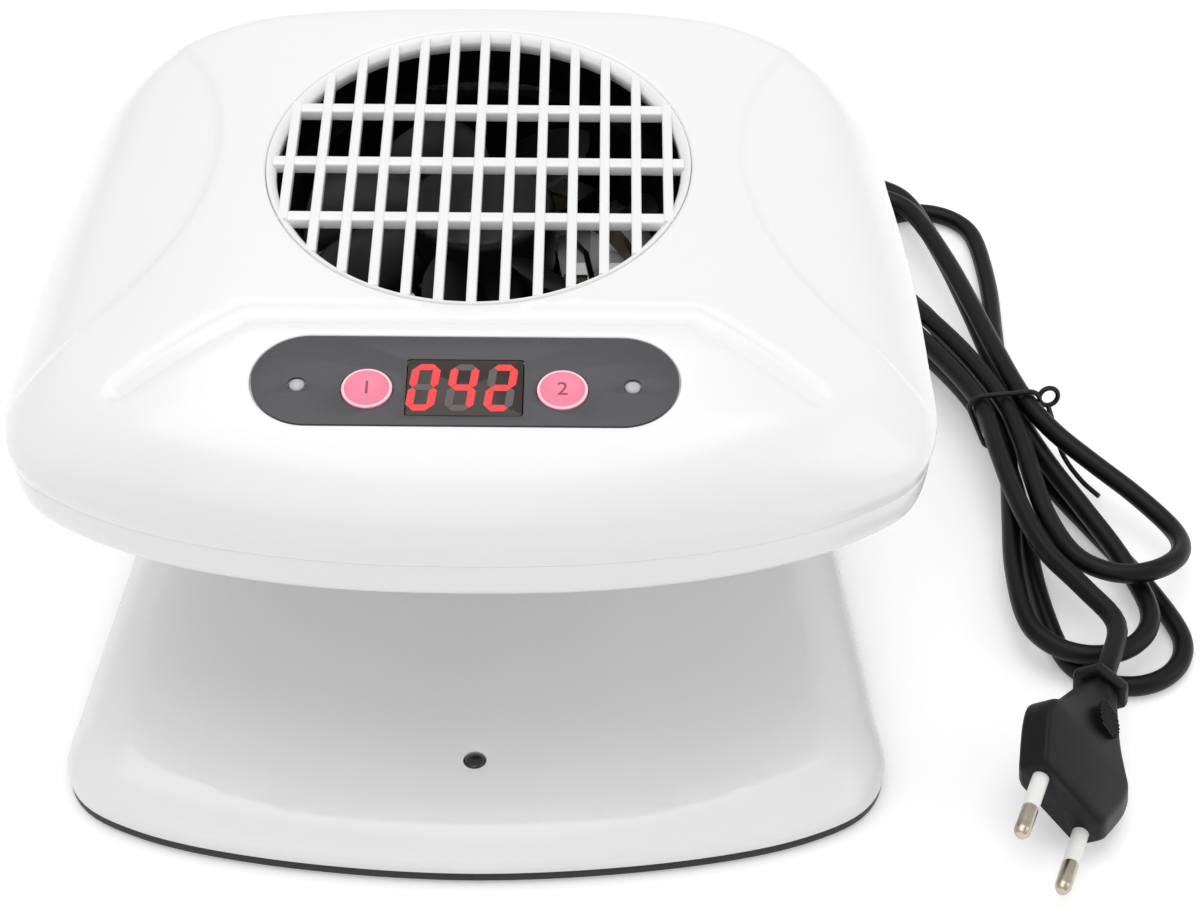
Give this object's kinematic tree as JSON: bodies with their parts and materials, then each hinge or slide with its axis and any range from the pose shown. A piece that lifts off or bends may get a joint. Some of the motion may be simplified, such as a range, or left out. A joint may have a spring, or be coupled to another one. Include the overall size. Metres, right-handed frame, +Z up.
{
  "type": "nail polish fan dryer",
  "caption": "Table-top nail dryer: a fan head with a round grille, two buttons and a display over a hand rest, with a corded two-pin plug.",
  "frame": {"origin": "on the table, under the middle of the dryer without its cord", "axes": "+X to the user's right, +Y to the back, +Z up"},
  "size_m": [0.2856, 0.2785, 0.1255],
  "materials": {
    "white": "glossy moulded",
    "label": "satin printed film",
    "window": "polished",
    "display": "smooth",
    "button": "satin",
    "lamp": "clear",
    "black": "fine texture",
    "board": "lacquered",
    "core": "laminated",
    "mica": "layered",
    "heater_wire": "drawn",
    "screw": "zinc",
    "rubber": "matte",
    "cord": "satin",
    "pin": "nickel",
    "sleeve": "smooth",
    "capacitor": "sleeved",
    "relay": "moulded"
  },
  "bodies": {
    "housing": {"base_plate": "black", "base_screw_1": "screw", "base_screw_2": "screw", "base_screw_3": "screw", "base_screw_4": "screw", "board_screw_1": "screw", "board_screw_2": "screw", "control_board": "board", "control_label": "label", "cool_lamp": "lamp", "cool_switch": "black", "cord_hank": "cord", "cord_lead": "cord", "digit_display": "display", "display_window": "window", "fan_frame": "black", "fan_screw_1": "screw", "fan_screw_2": "screw", "fan_screw_3": "screw", "fan_screw_4": "screw", "fan_stator": "core", "hand_rest": "white", "hand_sensor": "window", "head_screw_1": "screw", "head_screw_2": "screw", "head_screw_3": "screw", "head_screw_4": "screw", "head_underside": "white", "heater_frame": "mica", "heater_relay": "relay", "heating_wire": "heater_wire", "hot_lamp": "lamp", "hot_switch": "black", "inlet_grille": "white", "pin_sleeve_1": "sleeve", "pin_sleeve_2": "sleeve", "plug_body": "cord", "plug_pin_1": "pin", "plug_pin_2": "pin", "power_board": "board", "rear_cover": "white", "rubber_foot_1": "rubber", "rubber_foot_2": "rubber", "rubber_foot_3": "rubber", "rubber_foot_4": "rubber", "sensor_board": "board", "smoothing_capacitor": "capacitor", "strain_relief": "cord", "thermal_cutout": "black", "top_cover": "white", "transformer": "core", "twist_tie": "cord"},
    "fan_rotor": {"fan_rotor": "black"},
    "cool_key": {"cool_button": "button"},
    "hot_key": {"hot_button": "button"}
  },
  "joints": [
    {"name": "fan_spin", "type": "hinge", "parent": "housing", "child": "fan_rotor", "pos_m": [0, 0.0221, 0.1], "axis": [0, 0, 1], "continuous": true},
    {"name": "cool_press", "type": "slide", "parent": "housing", "child": "cool_key", "axis": [0, 0.165, -0.9863], "range_m": [0, 0.0007], "stiffness_N_per_m": 1500, "springref_m": -0.0004},
    {"name": "hot_press", "type": "slide", "parent": "housing", "child": "hot_key", "axis": [0, 0.165, -0.9863], "range_m": [0, 0.0007], "stiffness_N_per_m": 1500, "springref_m": -0.0004}
  ]
}
